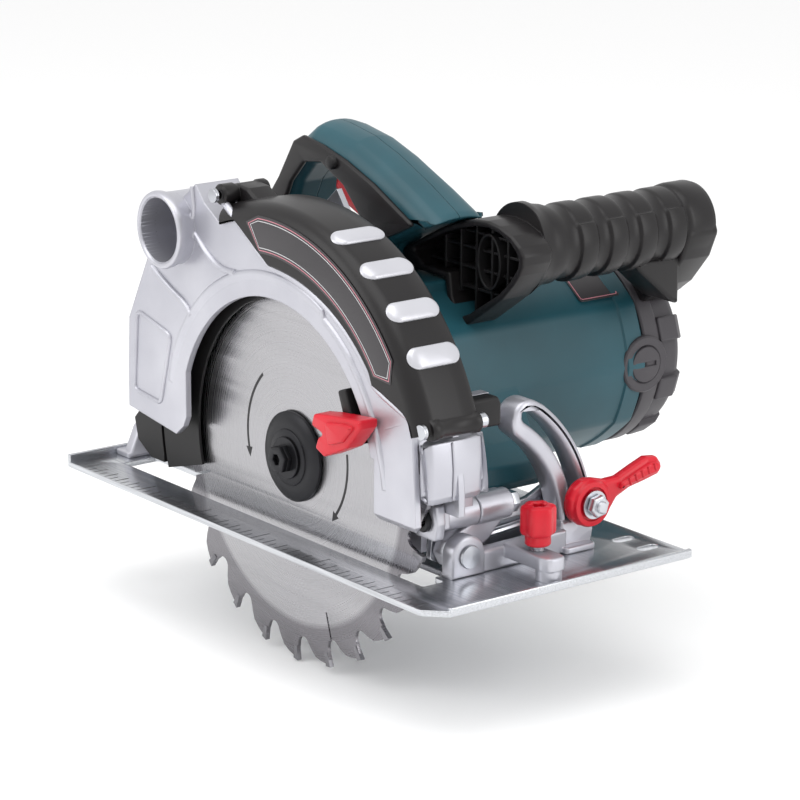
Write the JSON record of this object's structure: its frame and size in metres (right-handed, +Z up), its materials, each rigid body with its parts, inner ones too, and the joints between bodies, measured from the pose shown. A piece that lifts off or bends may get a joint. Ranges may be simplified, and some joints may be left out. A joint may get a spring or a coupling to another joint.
{
  "type": "circular saw",
  "caption": "Corded circular saw with a right-hand blade, cast guard with dust port, swinging lower guard, teal motor, two handles and a tilting, plunging sole.",
  "frame": {"origin": "centre of the sole's outline on its underside", "axes": "+X forward along the cut, +Y left to the motor side, +Z up"},
  "size_m": [0.31, 0.2341, 0.2557],
  "materials": {
    "bearing_steel": "ground",
    "black_plastic": "fine grain",
    "black_rubber": "fine matt",
    "blade_steel": "circular brushed",
    "brass": "pressed",
    "carbon": "pressed carbon",
    "cast_alloy": "fine cast, silver lacquer",
    "copper_bar": "turned copper",
    "copper_wire": "enamelled winding",
    "dark_steel": "black oxide",
    "grey_plastic": "fine grain",
    "grip_grey": "fine grain",
    "label_grey": "satin with pinstripes",
    "lamination": "varnished laminations",
    "red_plastic": "semi-gloss moulded",
    "silver_plastic": "satin silver",
    "sole_steel": "brushed",
    "teal_plastic": "fine grain satin",
    "zinc_steel": "zinc plated"
  },
  "bodies": {
    "base": {"sole_plate": "sole_steel", "bevel_quadrant": "cast_alloy", "rear_bevel_bracket": "cast_alloy", "bevel_pivot_pins": "zinc_steel", "sole_rivets": "zinc_steel"},
    "guide_clamp": {"guide_knob": "red_plastic", "guide_screw": "zinc_steel"},
    "tilt_frame": {"tilt_bracket": "cast_alloy", "tilt_bar": "zinc_steel", "depth_arc": "zinc_steel", "bevel_bolt": "zinc_steel", "bevel_washers": "zinc_steel", "depth_hinge_bolt": "zinc_steel"},
    "bevel_clamp": {"bevel_lever": "red_plastic"},
    "saw_unit": {"upper_guard": "cast_alloy", "guard_cover": "black_rubber", "cover_label": "label_grey", "cover_ovals": "silver_plastic", "cover_screws": "zinc_steel", "guard_bumper": "black_plastic", "gear_case": "cast_alloy", "spindle_bearings": "bearing_steel", "guard_clip": "zinc_steel", "motor_housing": "teal_plastic", "end_cap": "grey_plastic", "stator": "lamination", "armature_bearings": "bearing_steel", "brush_holders": "brass", "carbon_brushes": "carbon", "brush_caps": "grey_plastic", "housing_screws": "zinc_steel", "handle_shell_right": "teal_plastic", "handle_shell_left": "teal_plastic", "handle_grip": "black_rubber", "switch_module": "black_plastic", "handle_screws": "zinc_steel", "front_handle": "grip_grey", "front_handle_screws": "zinc_steel", "cord_inlet": "black_rubber", "depth_bolt": "zinc_steel"},
    "blade_spindle": {"spindle": "bearing_steel", "drive_gear": "bearing_steel", "inner_flange": "dark_steel", "blade": "blade_steel", "outer_flange": "dark_steel", "blade_bolt": "dark_steel"},
    "armature": {"armature_shaft": "bearing_steel", "armature_core": "lamination", "armature_windings": "copper_wire", "commutator": "copper_bar", "cooling_fan": "black_plastic", "pinion": "bearing_steel"},
    "lower_guard_body": {"lower_guard": "black_plastic", "guard_lever": "red_plastic", "guard_lever_arm": "black_plastic"},
    "trigger_body": {"trigger": "red_plastic"},
    "lock_off": {"lock_off_button": "black_plastic"},
    "spindle_lock": {"spindle_lock_button": "black_plastic"},
    "depth_clamp": {"depth_lever": "red_plastic"}
  },
  "joints": [
    {"name": "guide_knob_turn", "type": "hinge", "parent": "base", "child": "guide_clamp", "pos_m": [0.136, -0.002, 0.02], "axis": [0, 0, 1], "continuous": true},
    {"name": "bevel_tilt", "type": "hinge", "parent": "base", "child": "tilt_frame", "pos_m": [0.106, -0.031, 0.013], "axis": [1, 0, 0], "range_deg": [0, 45]},
    {"name": "bevel_lever_turn", "type": "hinge", "parent": "tilt_frame", "child": "bevel_clamp", "pos_m": [0.122, 0.03955, 0.02735], "axis": [1, 0, 0], "range_deg": [0, 60]},
    {"name": "depth_plunge", "type": "hinge", "parent": "tilt_frame", "child": "saw_unit", "pos_m": [0.1095, -0.02, 0.0315], "axis": [0, -1, 0], "range_deg": [-43, 0]},
    {"name": "depth_lever_turn", "type": "hinge", "parent": "saw_unit", "child": "depth_clamp", "pos_m": [-0.0554, -0.012, 0.03726], "axis": [0, 1, 0], "range_deg": [0, 50]},
    {"name": "blade_spin", "type": "hinge", "parent": "saw_unit", "child": "blade_spindle", "pos_m": [0.0114, -0.0516, 0.0403], "axis": [0, -1, 0], "continuous": true},
    {"name": "armature_spin", "type": "hinge", "parent": "saw_unit", "child": "armature", "pos_m": [0.0157, 0.06, 0.0705], "axis": [0, -1, 0], "continuous": true},
    {"name": "lower_guard_swing", "type": "hinge", "parent": "saw_unit", "child": "lower_guard_body", "pos_m": [0.0114, -0.05, 0.0403], "axis": [0, -1, 0], "range_deg": [0, 134]},
    {"name": "trigger_pull", "type": "slide", "parent": "saw_unit", "child": "trigger_body", "axis": [0.3629, 0, 0.9318], "range_m": [0, 0.004], "stiffness_N_per_m": 600, "springref_m": -0.004},
    {"name": "lock_off_press", "type": "slide", "parent": "saw_unit", "child": "lock_off", "axis": [0, 1, 0], "range_m": [0, 0.0025], "stiffness_N_per_m": 500, "springref_m": -0.003},
    {"name": "spindle_lock_press", "type": "slide", "parent": "saw_unit", "child": "spindle_lock", "axis": [-1, 0, 0], "range_m": [0, 0.004], "stiffness_N_per_m": 500, "springref_m": -0.004}
  ],
  "couplings": [
    {"joint": "armature_spin", "follows": "blade_spin", "ratio": -3}
  ]
}
